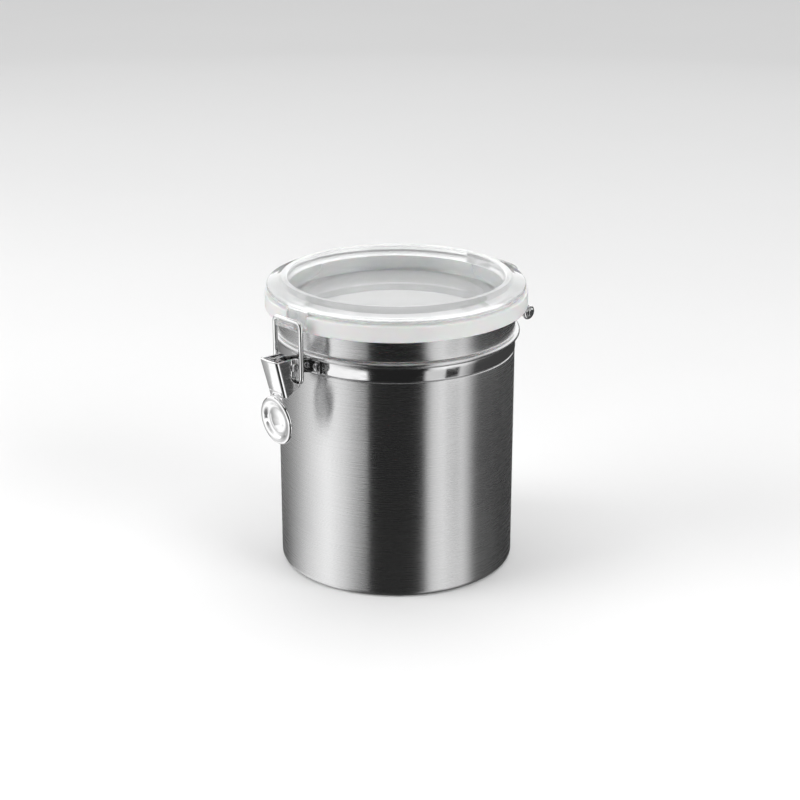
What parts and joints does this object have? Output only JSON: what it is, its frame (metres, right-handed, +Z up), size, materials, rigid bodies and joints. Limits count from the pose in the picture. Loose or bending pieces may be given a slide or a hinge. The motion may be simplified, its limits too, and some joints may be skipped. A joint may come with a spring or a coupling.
{
  "type": "food canister",
  "caption": "Cylindrical brushed steel food canister with a hinged clear lid, a silicone gasket and a wire bail toggle latch with a dished thumb tab.",
  "frame": {"origin": "centre of the canister's flat base", "axes": "+Z up along the canister's axis, -Y towards the latch, +Y towards the hinge, +X to the right seen from the latch"},
  "size_m": [0.1322, 0.173, 0.1505],
  "materials": {
    "brushed_steel": "fine brushing round the wall",
    "polished_steel": "polished",
    "plated_steel": "bright plated",
    "plated_wire": "bright plated wire",
    "rivet_steel": "satin",
    "clear_acrylic": "clear, glossy",
    "white_silicone": "translucent white, satin"
  },
  "bodies": {
    "canister": {"canister_body": "brushed_steel", "neck_strap": "polished_steel", "latch_bracket": "polished_steel", "latch_bracket_rivets": "rivet_steel", "latch_pivot_pin": "rivet_steel", "hinge_bracket": "polished_steel", "hinge_bracket_rivets": "rivet_steel", "hinge_pin": "rivet_steel"},
    "lever": {"latch_lever": "plated_steel"},
    "bail": {"bail_wire": "plated_wire"},
    "link": {"hinge_link": "plated_wire"},
    "lid": {"lid_cover": "clear_acrylic", "lid_gasket": "white_silicone"}
  },
  "joints": [
    {"name": "lever_swing", "type": "hinge", "parent": "canister", "child": "lever", "pos_m": [0, -0.0726, 0.119], "axis": [-1, 0, 0], "range_deg": [0, 110]},
    {"name": "bail_swing", "type": "hinge", "parent": "lever", "child": "bail", "pos_m": [0, -0.0712, 0.1115], "axis": [-1, 0, 0], "range_deg": [-122, 0]},
    {"name": "link_tilt", "type": "hinge", "parent": "canister", "child": "link", "pos_m": [0, 0.0843, 0.1154], "axis": [-1, 0, 0], "range_deg": [0, 10.6]},
    {"name": "lid_swing", "type": "hinge", "parent": "link", "child": "lid", "pos_m": [0, 0.0755, 0.1384], "axis": [-1, 0, 0], "range_deg": [0, 105]}
  ],
  "couplings": [
    {"joint": "bail_swing", "follows": "lever_swing", "ratio": -1.1},
    {"joint": "link_tilt", "follows": "lid_swing", "ratio": 0.1}
  ]
}
